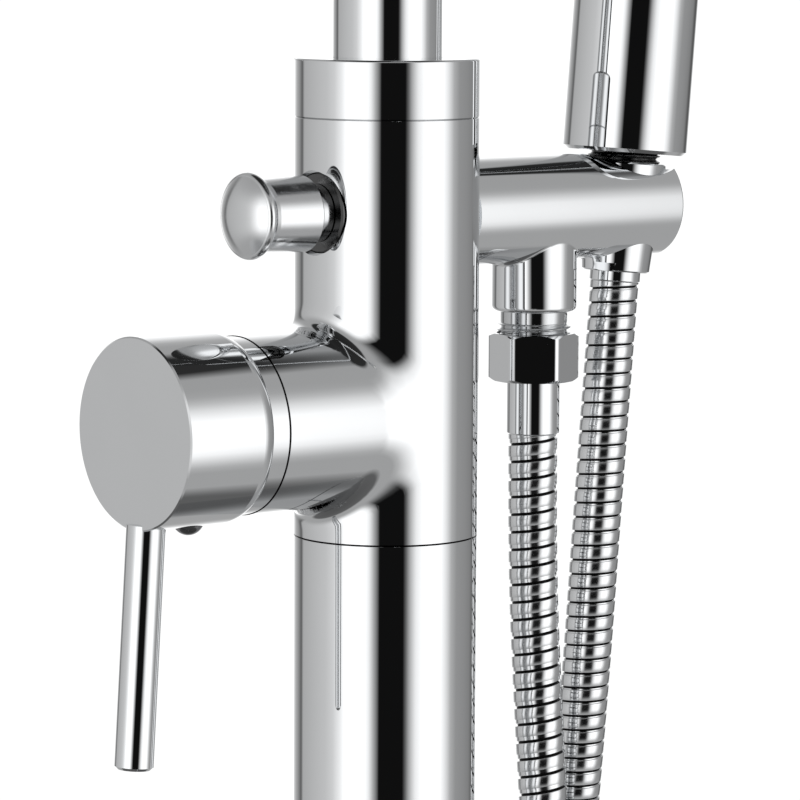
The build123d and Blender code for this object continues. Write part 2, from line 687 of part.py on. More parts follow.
def holder_arm():
    arm = arm_bar() + rod_z(BOSS_R, ARM_Z - BOSS_DROP, ARM_Z, OUTLET_X)
    saddle = [e for e in arm.edges() if e.geom_type not in (GeomType.CIRCLE, GeomType.LINE)]
    arm = fillet(saddle, BOSS_FILLET)
    arm = fillet(edges_at(arm, BOSS_R, ARM_Z - BOSS_DROP), 1.5)
    arm = fillet(edges_at(arm, ARM_R, arm_corner(), Axis.X), 0.6)
    arm -= rod_x(UNION_R + FIT, ARM_START - 1, ARM_START + UNION_GRIP, ARM_Z)
    arm -= rod_x(ARM_PASSAGE_R, ARM_START, OUTLET_X, ARM_Z)
    arm -= rod_z(ARM_PASSAGE_R, ARM_Z - BOSS_DROP, ARM_Z, OUTLET_X)
    arm -= rod_z(NIPPLE_SPIGOT_R + FIT, ARM_Z - BOSS_DROP - 1, ARM_Z - BOSS_DROP + NIPPLE_SPIGOT_L, OUTLET_X)
    return arm - LEANING * cradle_cut()


def cradle_cut():
    """The tapered seat of the cone nut, its 45-degree mouth, and the slot for the hose at the back."""
    slope = (CONE_HIGH_R - CONE_LOW_R) / (CONE_HIGH - CONE_LOW)
    low, high = CONE_LOW, CONE_HIGH + 12
    seat = turned(
        (0, low), (CONE_LOW_R + RUN, low), (CONE_HIGH_R + RUN + slope * (high - CONE_HIGH), high), (0, high),
    )
    mouth = turned((0, 0), (MOUTH_R, 0), (MOUTH_R + 24, 24), (0, 24))
    slot = Pos(0, ARM_R, 0) * Box(SLOT_W, 2 * ARM_R, 4 * ARM_R)
    return seat + mouth + slot


def arm_union():
    """The hollow stud that joins body and arm and carries the water across."""
    return tube_x(UNION_R, ARM_PASSAGE_R, ARM_START - UNION_GRIP, ARM_START + UNION_GRIP, ARM_Z)


def outlet_nipple():
    top = ARM_Z - BOSS_DROP
    body = rod_z(NIPPLE_SPIGOT_R, top, top + NIPPLE_SPIGOT_L, OUTLET_X)
    body += rod_z(NIPPLE_NECK_R, top - NIPPLE_NECK_L, top, OUTLET_X)
    body += rod_z(THREAD_R, NIPPLE_LOW, top - NIPPLE_NECK_L, OUTLET_X)
    return body - rod_z(VALVE_INSERT_R + FIT, NIPPLE_LOW - 1, top + NIPPLE_SPIGOT_L + 1, OUTLET_X)


def check_valve():
    """The non-return insert in the nipple."""
    low, high = NIPPLE_LOW + 2, NIPPLE_LOW + 14
    body = tube_z(VALVE_INSERT_R, VALVE_INSERT_R - 1.2, low, high, OUTLET_X)
    body += tube_z(VALVE_INSERT_R, 1.6, low, low + 2, OUTLET_X)
    return body + rod_z(1.6, low, high - 3, OUTLET_X) + rod_z(4.4, high - 3, high - 1, OUTLET_X)


# ---- Hose ----

def hose_nut():
    low = NIPPLE_LOW - 2 * WASHER_T - HOSE_NUT_LIP
    hexagon = RegularPolygon(HOSE_NUT_AF / 2, 6, major_radius=False, rotation=HOSE_NUT_TURN)
    nut = extrude(hexagon, HOSE_NUT_H)
    nut = Pos(OUTLET_X, 0, low) * fillet(nut.edges().filter_by(Axis.Z), HOSE_NUT_EDGE)
    corner = HOSE_NUT_AF / 2 / 0.8660254 - HOSE_NUT_EDGE * (1 / 0.8660254 - 1)
    bevel = turned(
        (0, 0), (corner - 1.2, 0), (corner, 0.9), (corner, HOSE_NUT_H - 0.9),
        (corner - 1.2, HOSE_NUT_H), (0, HOSE_NUT_H),
    )
    nut &= Pos(OUTLET_X, 0, low) * bevel
    nut -= rod_z(THREAD_R + FIT, low + HOSE_NUT_LIP, low + HOSE_NUT_H + 1, OUTLET_X)
    return nut - rod_z(FERRULE_R + FIT, low - 1, low + HOSE_NUT_LIP + 1, OUTLET_X)


def hose_washer():
    return tube_z(THREAD_R - 0.4, 5.0, FERRULE_TOP, NIPPLE_LOW, OUTLET_X)


def hose_ferrule():
    body = rod_z(THREAD_R - 0.3, FERRULE_FLANGE_LOW, FERRULE_TOP, OUTLET_X)
    body += rod_z(FERRULE_R, HOSE_START, FERRULE_FLANGE_LOW, OUTLET_X)
    body = chamfer(edges_at(body, FERRULE_R, HOSE_START), 0.4)
    return body - rod_z(4.0, HOSE_START + 2, FERRULE_TOP + 1, OUTLET_X)


def hose_points():
    tail, end = [(LEANING * Pos(0, 0, along)).position for along in (HOSE_TAIL, HOSE_END_LOW)]
    return [Vector(OUTLET_X, 0, HOSE_START), *[Vector(*p) for p in HOSE_ROUTE], tail, end]


def hose_radii(points):
    """At each point, the largest arc that its two runs allow."""
    radii = []
    for before, here, after in zip(points, points[1:], points[2:]):
        into, out = here - before, after - here
        half = radians(into.get_angle(out)) / 2
        radii.append(0.45 * min(into.length, out.length) / tan(half))
    return radii


def hose():
    points = hose_points()
    radii = hose_radii(points)
    print("hose radii", [round(r) for r in radii], "smallest", round(min(radii), 1))
    line = FilletPolyline(*points, radius=radii)
    wire = Wire(line.edges())
    tube = sweep(Plane(origin=wire @ 0, z_dir=wire % 0) * Circle(HOSE_R), path=wire)
    section = pi * HOSE_R**2
    print("hose length", round(wire.length, 1), "volume over section x length",
          round(tube.volume / (section * wire.length), 4))
    return tube


# ---- Hand shower: it lifts out of the cradle, and turns on the hose's end ----

def hose_end():
    """The sleeve crimped on the hose, whose flange is held in the cone nut and turns there."""
    body = rod_z(HOSE_SLEEVE_R, HOSE_END_LOW, CONE_STEP)
    body += rod_z(HOSE_FLANGE_R, CONE_STEP, CONE_STEP + WASHER_T)
    body = chamfer(edges_at(body, HOSE_SLEEVE_R, HOSE_END_LOW), 0.4)
    return LEANING * (body - rod_z(4.0, HOSE_END_LOW + 2, CONE_STEP + WASHER_T + 1))


def cone_nut():
    nut = turned((0, CONE_LOW), (CONE_LOW_R, CONE_LOW), (CONE_HIGH_R, CONE_HIGH), (0, CONE_HIGH))
    nut = chamfer(edges_at(nut, CONE_LOW_R, CONE_LOW) + edges_at(nut, CONE_HIGH_R, CONE_HIGH), 0.4)
    for side in (-1, 1):
        offset = side * (CONE_FLATS / 2 + 5)
        nut -= Rot(0, 0, CONE_FLAT_TURN) * Pos(0, offset, CONE_LOW) * Box(40, 10, 2 * CONE_FLAT_H)
    nut -= rod_z(THREAD_R + FIT, CONE_STEP, CONE_HIGH + 1)
    return LEANING * (nut - rod_z(HOSE_SLEEVE_R + 2 * RUN, CONE_LOW - 1, CONE_STEP + 1))


def cone_washer():
    return LEANING * tube_z(THREAD_R - 0.3, 5.0, CONE_STEP + WASHER_T, NECK_LOW)


def handset_inlet():
    body = rod_z(THREAD_R, NECK_LOW, HANDSET_LOW) + rod_z(INLET_NECK_R, HANDSET_LOW, HANDSET_LOW + HANDSET_FLOOR)
    flange_low = HANDSET_LOW + HANDSET_FLOOR
    body += rod_z(INLET_FLANGE_R, flange_low, flange_low + INLET_FLANGE_T)
    return LEANING * (body - rod_z(WATER_TUBE_R - 1.5, NECK_LOW - 1, flange_low + INLET_FLANGE_T + 1))


def handset_shell():
    shell = rod_z(HANDSET_R, HANDSET_LOW, HANDSET_HIGH)
    shell = chamfer(edges_at(shell, HANDSET_R, HANDSET_LOW), 1.0)
    shell = fillet(edges_at(shell, HANDSET_R, HANDSET_HIGH), 1.2)
    shell -= rod_z(HANDSET_R - HANDSET_WALL, HANDSET_LOW + HANDSET_FLOOR, HANDSET_HIGH + 1)
    return LEANING * (shell - rod_z(INLET_NECK_R + FIT, HANDSET_LOW - 1, HANDSET_LOW + HANDSET_FLOOR + 1))


def handset_water_tube():
    low = HANDSET_LOW + HANDSET_FLOOR + INLET_FLANGE_T
    return LEANING * tube_z(WATER_TUBE_R, WATER_TUBE_R - 1.5, low, HANDSET_HIGH - SPRAY_DEPTH)


def spray_chamber():
    low, high = HANDSET_HIGH - SPRAY_DEPTH, HANDSET_HIGH - SPRAY_PLATE_T - 0.6
    outer = HANDSET_R - HANDSET_WALL - RUN
    body = rod_z(outer, low, high) - rod_z(outer - 2, low + 3, high + 1)
    return LEANING * (body - rod_z(WATER_TUBE_R - 1.5, low - 1, low + 4))


def nozzle_bars(radius, low, high):
    bars = []
    for ring_r, count in NOZZLE_RINGS:
        bars += [place * rod_z(radius, low, high) for place in PolarLocations(ring_r, count)]
    return Compound(bars)


def spray_plate():
    low, high = HANDSET_HIGH - SPRAY_PLATE_T - 0.6, HANDSET_HIGH - 0.6
    plate = rod_z(HANDSET_R - HANDSET_WALL - FIT, low, high)
    return LEANING * (plate - nozzle_bars(NOZZLE_R + FIT, low - 1, high + 1))


def spray_nozzles():
    return LEANING * nozzle_bars(NOZZLE_R, HANDSET_HIGH - SPRAY_PLATE_T - 0.6, HANDSET_HIGH + 0.4)


PARTS = {
    "floor_plate": floor_plate(),
    "floor_cover": floor_cover(),
    "lower_column": lower_column(),
    "column_screws": column_screws(),
    "column_seal": column_seal(),
    "cold_inlet": supply_inlet(SUPPLY_SPACING / 2, INLET_LOW[0]),
    "hot_inlet": supply_inlet(-SUPPLY_SPACING / 2, INLET_LOW[1]),
    "cold_supply_tube": supply_tube(SUPPLY_SPACING / 2, INLET_LOW[0]),
    "hot_supply_tube": supply_tube(-SUPPLY_SPACING / 2, INLET_LOW[1]),
    "mixer_body": mixer_body(),
    "collar": collar(),
    "spout_bush": spout_bush(),
    "spout_tube": spout_tube(),
    "spout_foot": spout_foot(),
    "spout_seal": spout_seal(),
    "aerator_housing": aerator_housing(),
    "aerator_insert": aerator_insert(),
    "aerator_washer": aerator_washer(),
    "cartridge_body": cartridge_body(),
    "cartridge_seals": cartridge_seals(),
    "fixed_disc": fixed_disc(),
    "moving_disc": moving_disc(),
    "cartridge_rotor": cartridge_rotor(),
    "pivot_pin": pivot_bar(PIVOT_PIN_R),
    "cartridge_spindle": cartridge_spindle(),
    "cartridge_nut": cartridge_nut(),
    "trim_ring": trim_ring(),
    "handle_cap": handle_cap(),
    "handle_lever": handle_lever(),
    "handle_grub_screw": handle_grub_screw(),
    "handle_plug": handle_plug(),
    "diverter_knob": diverter_knob(),
    "diverter_rod": diverter_rod(),
    "diverter_valve": diverter_valve(),
    "diverter_seat": diverter_seat(),
    "diverter_bush": diverter_bush(),
    "diverter_seals": diverter_seals(),
    "diverter_spring": diverter_spring(),
    "holder_arm": holder_arm(),
    "arm_union": arm_union(),
    "outlet_nipple": outlet_nipple(),
    "check_valve": check_valve(),
    "hose_nut": hose_nut(),
    "hose_washer": hose_washer(),
    "hose_ferrule": hose_ferrule(),
    "hose": hose(),
    "hose_end": hose_end(),
    "cone_nut": cone_nut(),
    "cone_washer": cone_washer(),
    "handset_inlet": handset_inlet(),
    "handset_shell": handset_shell(),
    "handset_water_tube": handset_water_tube(),
    "spray_chamber": spray_chamber(),
    "spray_plate": spray_plate(),
    "spray_nozzles": spray_nozzles(),
}

os.makedirs("parts", exist_ok=True)
for name, shape in PARTS.items():
    export_step(shape, f"parts/{name}.step")
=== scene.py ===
from math import cos, radians, sin, tau

import bmesh
import bpy
import numpy as np
from mathutils import Matrix, Vector


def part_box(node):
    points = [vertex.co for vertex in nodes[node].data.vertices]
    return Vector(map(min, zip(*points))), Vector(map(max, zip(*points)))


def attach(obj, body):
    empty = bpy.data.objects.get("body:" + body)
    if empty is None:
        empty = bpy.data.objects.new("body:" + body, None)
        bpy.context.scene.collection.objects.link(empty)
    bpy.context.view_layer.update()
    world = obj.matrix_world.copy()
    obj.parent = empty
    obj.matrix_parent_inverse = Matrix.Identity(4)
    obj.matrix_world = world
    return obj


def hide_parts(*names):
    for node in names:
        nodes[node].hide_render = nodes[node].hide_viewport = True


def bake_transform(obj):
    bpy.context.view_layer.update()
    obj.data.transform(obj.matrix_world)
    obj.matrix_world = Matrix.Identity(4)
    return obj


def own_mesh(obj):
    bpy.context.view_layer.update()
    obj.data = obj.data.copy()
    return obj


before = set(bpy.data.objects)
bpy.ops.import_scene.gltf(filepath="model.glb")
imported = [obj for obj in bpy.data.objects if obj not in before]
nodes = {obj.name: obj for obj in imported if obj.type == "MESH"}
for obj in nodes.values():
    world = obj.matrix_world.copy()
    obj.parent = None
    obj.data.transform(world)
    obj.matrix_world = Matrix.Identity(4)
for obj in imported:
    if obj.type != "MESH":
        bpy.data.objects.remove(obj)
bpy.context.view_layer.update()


# ---- Camera ----
# A long lens stands a little above the spout's collar, on the mixer's side of the spout,
# so that the handle, the diverter and the hand-shower arm all face it.
EYE = Vector((-0.74571, -0.94369, 0.9226))
HEADING = radians(51.5)
LOOK_DOWN = radians(6.48)
ROLL = radians(0.28)
LENS, SENSOR = 198.0, 36.0      # mm
CLIP_END = 50.0
forward = Vector((cos(HEADING) * cos(LOOK_DOWN), sin(HEADING) * cos(LOOK_DOWN), -sin(LOOK_DOWN)))
level = Vector((sin(HEADING), -cos(HEADING), 0.0))
upright = level.cross(forward)
right = level * cos(ROLL) + upright * sin(ROLL)
up = upright * cos(ROLL) - level * sin(ROLL)
turn = Matrix((right, up, -forward)).transposed()
lens = bpy.data.cameras.new("camera")
lens.lens = LENS
lens.sensor_width = SENSOR
lens.clip_end = CLIP_END
camera = bpy.data.objects.new("camera", lens)
camera.matrix_world = Matrix.Translation(EYE) @ turn.to_4x4()
bpy.context.collection.objects.link(camera)
bpy.context.scene.camera = camera
bpy.context.scene.view_settings.view_transform = "Standard"


# ---- Shower hose ----
# A 1.5 m hose wound from one interlocking strip of chromed steel over a rubber core.
# It hangs from the ferrule, crosses itself and comes back up through the cradle.
HOSE_EXIT = (0.0530, 0.0, 0.7730)
HOSE_ROUTE = [
    (0.0530, 0.0, 0.7380),
    (0.0538, -0.0017, 0.7010),
    (0.0543, -0.0066, 0.6450),
    (0.0555, -0.0145, 0.5740),
    (0.0600, -0.0260, 0.4940),
    (0.0695, -0.0400, 0.4140),
    (0.0835, -0.0545, 0.3350),
    (0.1000, -0.0660, 0.2540),
    (0.1160, -0.0730, 0.1740),
    (0.1070, -0.0570, 0.1270),
    (0.0870, -0.0220, 0.0990),
    (0.0620, 0.0220, 0.0990),
    (0.0410, 0.0570, 0.1270),
    (0.0320, 0.0730, 0.1740),
    (0.0400, 0.0605, 0.2320),
    (0.0470, 0.0480, 0.3060),
    (0.0540, 0.0345, 0.3820),
    (0.0600, 0.0215, 0.4600),
    (0.0650, 0.0118, 0.5400),
    (0.0700, 0.0048, 0.6220),
    (0.0745, 0.0010, 0.7000),
]
LEAN = radians(5.0)
LEAN_FOOT = Vector((0.0850, 0.0, 0.8367))
LEAN_WAY = Vector((sin(LEAN), 0.0, cos(LEAN)))
HOSE_TAIL = -0.0800
HOSE_END_LOW = -0.0222
SIDES = 40                      # faces round one turn of the strip
PITCHES = (0.0050, 0.0041)      # at the fixed end, and at the hand shower's
PITCH_CHANGE = (0.70, 0.90)     # where the pitch goes from one to the other, along the hose
# One turn of the strip in millimetres: how far along, and the radius there. The band is as
# wide everywhere; the step behind it, in shares of what is left of the pitch, takes up the rest.
BAND = [
    (0.00, 6.10), (0.50, 6.10), (0.54, 6.82), (0.58, 6.96), (0.66, 7.00),
    (3.58, 7.00), (3.66, 6.96), (3.70, 6.82), (3.72, 6.70),
]
STEP = [(0.82, 6.68), (0.90, 6.55), (1.00, 6.10)]
GROOVE = (0, 10)                # the faces that lie in the gap, which get the painted shade
ROUTE_ORDER, ROUTE_STEPS = 3, 24
SAME_POINT = 1e-7
STRIP_CREASE = radians(50)

route = bpy.data.curves.new("hose_route", "CURVE")
route.dimensions = "3D"
spline = route.splines.new("NURBS")
tail, top = [LEAN_FOOT + LEAN_WAY * along for along in (HOSE_TAIL, HOSE_END_LOW)]
corners = [HOSE_EXIT, *HOSE_ROUTE, tuple(tail), tuple(top)]
spline.points.add(len(corners) - 1)
for point, corner in zip(spline.points, corners):
    point.co = (*corner, 1.0)
spline.order_u = ROUTE_ORDER
spline.use_endpoint_u = True
spline.resolution_u = ROUTE_STEPS
route_line = bpy.data.objects.new("hose_route", route)
bpy.context.collection.objects.link(route_line)
line = bpy.data.meshes.new_from_object(route_line.evaluated_get(bpy.context.evaluated_depsgraph_get()))
path = np.array([vertex.co for vertex in line.vertices])
bpy.data.objects.remove(route_line)

steps = np.linalg.norm(np.diff(path, axis=0), axis=1)
path = path[np.concatenate(([True], steps > SAME_POINT))]
run = np.concatenate(([0.0], np.cumsum(np.linalg.norm(np.diff(path, axis=0), axis=1))))
hose_run = run[-1]
ways = np.gradient(path, run, axis=0)
ways /= np.linalg.norm(ways, axis=1)[:, None]
across = np.empty_like(ways)
side = np.array((1.0, 0.0, 0.0))
for at, way in enumerate(ways):
    side = side - way * side.dot(way)
    side /= np.linalg.norm(side)
    across[at] = side


def on_hose(along, angle, radius):
    """Points on the hose: along its line, round it and out from it, in metres."""
    along = np.clip(along, 0.0, hose_run)
    centre = np.stack([np.interp(along, run, path[:, k]) for k in range(3)], 1)
    one = np.stack([np.interp(along, run, across[:, k]) for k in range(3)], 1)
    way = np.stack([np.interp(along, run, ways[:, k]) for k in range(3)], 1)
    other = np.cross(way, one)
    return centre + radius[:, None] * (np.cos(angle)[:, None] * one + np.sin(angle)[:, None] * other)


turns = [-PITCHES[0]]
while turns[-1] < hose_run + 2 * PITCHES[1]:
    change = np.clip((turns[-1] - PITCH_CHANGE[0]) / (PITCH_CHANGE[1] - PITCH_CHANGE[0]), 0, 1)
    turns.append(turns[-1] + PITCHES[0] + (PITCHES[1] - PITCHES[0]) * change)
turns = np.array(turns)
count = (len(turns) - 2) * SIDES
phase = np.arange(count + 1) / SIDES
start = np.interp(phase, np.arange(len(turns)), turns)
pitch = np.interp(phase + 1, np.arange(len(turns)), turns) - start
band = np.array([place for place, _ in BAND]) / 1000
step = band[-1] + (pitch[:, None] - band[-1]) * np.array([place for place, _ in STEP])
along = (start[:, None] + np.hstack([np.tile(band, (len(pitch), 1)), step])).ravel()
depth = np.array([radius for _, radius in BAND + STEP]) / 1000
wide = len(depth)
strip_points = on_hose(along, np.repeat(tau * phase, wide), np.tile(depth, len(phase)))
first = (np.arange(count)[:, None] * wide + np.arange(wide - 1)).ravel()
strip_faces = np.stack([first, first + 1, first + wide + 1, first + wide], 1)
strip = bpy.data.meshes.new("shower_hose")
strip.from_pydata(strip_points.tolist(), [], strip_faces.tolist())
strip.shade_smooth()
strip.set_sharp_from_angle(angle=STRIP_CREASE)
in_groove = np.isin(np.arange(wide - 1), GROOVE).astype(np.int32)
strip.attributes.new("material_index", "INT", "FACE").data.foreach_set("value", np.tile(in_groove, count))


def new_piece(name, mesh):
    """An object of its own, in the frame, for a mesh."""
    piece = bpy.data.objects.new(name, mesh)
    bpy.context.collection.objects.link(piece)
    return piece


hose = new_piece("shower_hose", strip)


class Shade:
    """An output socket of a material's nodes. Arithmetic on it adds Math nodes."""

    def __init__(self, tree, socket=None):
        self.tree, self.socket = tree, socket

    def node(self, kind, settings, sockets, output=0):
        made = self.tree.nodes.new(kind)
        for name, setting in settings.items():
            if name == "stops":
                stops = made.color_ramp.elements
                stops.remove(stops[1])
                stops[0].position = setting[0][0]
                for place, _ in setting[1:]:
                    stops.new(place)
                for stop, (_, tone) in zip(stops, setting):
                    stop.color = (*tone, 1.0) if isinstance(tone, tuple) else (tone, tone, tone, 1.0)
            else:
                setattr(made, name, setting)
        for name, value in sockets.items():
            if isinstance(value, Shade):
                self.tree.links.new(value.socket, made.inputs[name])
            else:
                made.inputs[name].default_value = value
        return Shade(self.tree, made.outputs[output])

    def math(self, operation, *values):
        return self.node("ShaderNodeMath", {"operation": operation}, dict(enumerate(values)))

    def __add__(self, other):
        return self.math("ADD", self, other)

    def __sub__(self, other):
        return self.math("SUBTRACT", self, other)

    def __rsub__(self, other):
        return self.math("SUBTRACT", other, self)

    def __mul__(self, other):
        return self.math("MULTIPLY", self, other)

    def __truediv__(self, other):
        return self.math("DIVIDE", self, other)

    __radd__ = __add__
    __rmul__ = __mul__


def new_finish(name, **fixed):
    """A named material: its shader node, and a Shade to build on."""
    made = bpy.data.materials.new(name)
    made.use_nodes = True
    shader = made.node_tree.nodes["Principled BSDF"]
    for socket, value in fixed.items():
        shader.inputs[socket.replace("_", " ")].default_value = value
    return made, shader, Shade(made.node_tree)


def feed(shader, socket, value):
    """Links what varies over the surface to one of the shader's sockets."""
    value.tree.links.new(value.socket, shader.inputs[socket])


def place_on(shade):
    """The point on the surface, in metres, which turns and moves with its piece."""
    return shade.node("ShaderNodeTexCoord", {}, {}, "Object")


def noise(shade, place, scale, detail=3.0):
    sockets = {"Vector": place, "Scale": scale, "Detail": detail}
    return shade.node("ShaderNodeTexNoise", {}, sockets, "Fac")


def ramp(shade, amount, stops):
    """A colour or a brightness that follows an amount through a row of stops."""
    return shade.node("ShaderNodeValToRGB", {"stops": stops}, {"Fac": amount}, "Color")


def tint(shade, amount, low, high):
    """A colour between two, by an amount from 0 to 1."""
    return ramp(shade, amount, [(0.0, low), (1.0, high)])


def bumped(shade, height, distance):
    sockets = {"Height": height, "Distance": distance, "Strength": 1.0}
    return shade.node("ShaderNodeBump", {}, sockets, "Normal")


def dress(material, *names):
    """Gives CAD nodes their finish."""
    for name in names:
        nodes[name].data.materials[0] = material


WIPED = 0.97                    # how bright a metal's dullest spots are beside its brightest
WAVE_SCALE, WAVE_DETAIL = 35.0, 1.0


def plated(name, colour, least, most, scale, wave=0.0):
    """Plated or polished metal: hardly any scatter, more where it was wiped or handled."""
    made, shader, shade = new_finish(name, Metallic=1.0)
    place = place_on(shade)
    smear = noise(shade, place, scale)
    feed(shader, "Base Color", tint(shade, smear, tuple(WIPED * part for part in colour), colour))
    feed(shader, "Roughness", smear * (most - least) + least)
    if wave:
        feed(shader, "Normal", bumped(shade, noise(shade, place, WAVE_SCALE, WAVE_DETAIL), wave))
    return made


def grained(name, low, high, least, most, scale, relief=0.0, **fixed):
    """A finish whose colour, roughness and relief, if it has any, follow one fine grain."""
    made, shader, shade = new_finish(name, **fixed)
    grain = noise(shade, place_on(shade), scale)
    feed(shader, "Base Color", tint(shade, grain, low, high))
    feed(shader, "Roughness", grain * (most - least) + least)
    if relief:
        feed(shader, "Normal", bumped(shade, grain, relief))
    return made


CHROME = (0.80, 0.81, 0.82)
hose_steel = plated("hose_metal", CHROME, 0.08, 0.20, 420.0)
# painted shade: the faces in the gap between the strip's turns are coloured near black, for the shade
# that falls there
groove_painted_shade = grained(
    "hose_groove_painted_shade", (0.004, 0.004, 0.004), (0.02, 0.02, 0.02), 0.35, 0.65, 900.0, Metallic=1.0
)
hose.data.materials.append(hose_steel)
hose.data.materials.append(groove_painted_shade)
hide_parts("hose")
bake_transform(hose)


# ---- Floor plate and lower column ----
# A chromed brass tube, 50.8 mm across, grips the hub of a zinc-plated steel plate that is bolted
# down, and a loose spun cover hides the bolts. Two supply tubes rise inside it.
GLOSSIEST, DULLEST = 0.015, 0.035  # the chrome's roughness
SMEARS, WAVE = 60.0, 0.000004
chrome = plated("chrome", CHROME, GLOSSIEST, DULLEST, SMEARS, WAVE)
zinc = plated("zinc_steel", (0.62, 0.63, 0.65), 0.28, 0.42, 240.0, 0.00003)
brass = plated("brass", (0.75, 0.60, 0.32), 0.18, 0.32, 180.0, 0.00001)
steel = plated("steel", (0.55, 0.55, 0.56), 0.16, 0.30, 300.0, 0.00001)
rubber = grained("rubber", (0.045, 0.045, 0.045), (0.075, 0.075, 0.075), 0.5, 0.7, 500.0, 0.00002)
dress(zinc, "floor_plate")
dress(chrome, "floor_cover")
dress(steel, "column_screws")
dress(rubber, "column_seal")
dress(brass, "cold_inlet", "hot_inlet", "cold_supply_tube", "hot_supply_tube")


# ---- Mixer body and collar ----
# One brass casting, polished and chromed: the column's upper length with the mixer's neck
# running out of it. Polishing has run the neck's side into the column with no edge between.
# The collar on top stays still, and the spout swivels in it.
COLUMN_R = 0.0254
NECK_R = 0.0242
NECK_Z = 0.7825
POLISHED = 0.0052               # how far from where they meet the one is run into the other
FADE_FROM, FADE_TO = -0.012, 0.008  # along X, over which the neck's share ends
MESH_STEP, COARSE_STEP = 0.0022, 0.0060  # longest edges, near the neck's root and elsewhere
MESH_CENTRE = Vector((-0.02, 0.0, NECK_Z))
FINE_WITHIN = 0.045
MESH_PASSES = 8
OUTER_FROM = 0.0235             # distance from the column's axis: the outside, not the bores
FACES_ALIKE = 0.85              # cosine: a face this close to the polished way is on the outside
OUTSIDE_DEPTHS = (-0.0003, 0.0040)
NEVER_ZERO = 1e-6


def polished_ways(points):
    """The way the polished casting faces at points on its outside, and how far out they are."""
    x, y, rise = points[:, 0], points[:, 1], points[:, 2] - NECK_Z
    flat = np.zeros_like(x)
    column = np.maximum(np.hypot(x, y), NEVER_ZERO)
    neck = np.maximum(np.hypot(y, rise), NEVER_ZERO)
    off_column, off_neck = column - COLUMN_R, np.where(x < 0, neck - NECK_R, 1.0)
    fade = np.clip((FADE_TO - x) / (FADE_TO - FADE_FROM), 0, 1)
    share = np.clip(0.5 + (off_column - off_neck) / (2 * POLISHED), 0, 1)
    share = (share * fade * fade * (3 - 2 * fade))[:, None]
    ways = np.stack((x, y, flat), 1) / column[:, None] * (1 - share)
    ways += np.stack((flat, y, rise), 1) / neck[:, None] * share
    return ways / np.linalg.norm(ways, axis=1)[:, None], np.minimum(off_column, off_neck)


work = bmesh.new()
work.from_mesh(nodes["mixer_body"].data)
for _ in range(MESH_PASSES):
    long_edges = []
    for edge in work.edges:
        from_centre = ((edge.verts[0].co + edge.verts[1].co) / 2 - MESH_CENTRE).length
        step = MESH_STEP if from_centre < FINE_WITHIN else COARSE_STEP
        if edge.calc_length() > step and min(corner.co.xy.length for corner in edge.verts) > OUTER_FROM:
            long_edges.append(edge)
    if not long_edges:
        break
    bmesh.ops.subdivide_edges(work, edges=long_edges, cuts=1)
    bmesh.ops.triangulate(work, faces=work.faces[:])
casting_mesh = bpy.data.meshes.new("mixer_casting")
work.to_mesh(casting_mesh)
work.free()
casting_mesh.shade_smooth()
middles = np.array([tuple(face.center) for face in casting_mesh.polygons])
polished, depth = polished_ways(middles)
flat_ways = np.array([tuple(face.normal) for face in casting_mesh.polygons])
outside = (flat_ways * polished).sum(1) > FACES_ALIKE
outside &= (depth > OUTSIDE_DEPTHS[0]) & (depth < OUTSIDE_DEPTHS[1])
corners = np.array([tuple(casting_mesh.vertices[loop.vertex_index].co) for loop in casting_mesh.loops])
kept = np.array([tuple(corner.vector) for corner in casting_mesh.corner_normals])
faced = np.where(np.repeat(outside, 3)[:, None], polished_ways(corners)[0], kept)
casting_mesh.normals_split_custom_set([tuple(way) for way in faced])
casting = new_piece("mixer_casting", casting_mesh)

# the same chrome, with painted shade darkening the hairline joints at the body's ends and at the neck's,
# where shade falls between the parts
BODY_ENDS = ((0.7490, 1.0), (0.8640, 0.5))  # height, and how dark the painted shade in the joint is
NECK_END = -0.0510
JOINT_HALF = 0.00023
# the brightness of the painted shade in the joints
JOINT_SHADE = 0.01
joint_shaded_chrome, shader, shade = new_finish("chrome_joint_painted_shade", Metallic=1.0)
place = place_on(shade)
smear = noise(shade, place, SMEARS)
sideways = shade.node("ShaderNodeSeparateXYZ", {}, {"Vector": place}, "X")
height = shade.node("ShaderNodeSeparateXYZ", {}, {"Vector": place}, "Z")
unshaded = 1 - sideways.math("COMPARE", sideways, NECK_END, JOINT_HALF)
for end, darkness in BODY_ENDS:
    unshaded = unshaded - height.math("COMPARE", height, end, JOINT_HALF) * darkness
tones = [(0.0, JOINT_SHADE), (0.5, tuple(WIPED * part for part in CHROME)), (1.0, CHROME)]
feed(shader, "Base Color", ramp(shade, (smear * 0.5 + 0.5) * unshaded, tones))
feed(shader, "Roughness", smear * (DULLEST - GLOSSIEST) + GLOSSIEST)
feed(shader, "Normal", bumped(shade, noise(shade, place, WAVE_SCALE, WAVE_DETAIL), WAVE))
casting_mesh.materials.append(joint_shaded_chrome)
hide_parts("mixer_body")
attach(casting, "root")
dress(joint_shaded_chrome, "collar", "lower_column", "trim_ring")
dress(brass, "spout_bush")


# ---- Mixer cartridge ----
# A moulded body holds one fixed and one sliding ceramic disc under the spindle.
# A brass nut presses it on three rubber rings, and the trim ring hides the nut.
acetal = grained("plastic", (0.86, 0.86, 0.84), (0.92, 0.92, 0.90), 0.38, 0.50, 700.0, 0.00001)
ceramic = grained("ceramic", (0.91, 0.89, 0.83), (0.95, 0.93, 0.89), 0.12, 0.20, 1200.0)
dress(acetal, "cartridge_body", "cartridge_rotor")
dress(ceramic, "fixed_disc", "moving_disc")
dress(rubber, "cartridge_seals")
dress(brass, "cartridge_nut", "cartridge_spindle")
dress(steel, "pivot_pin")


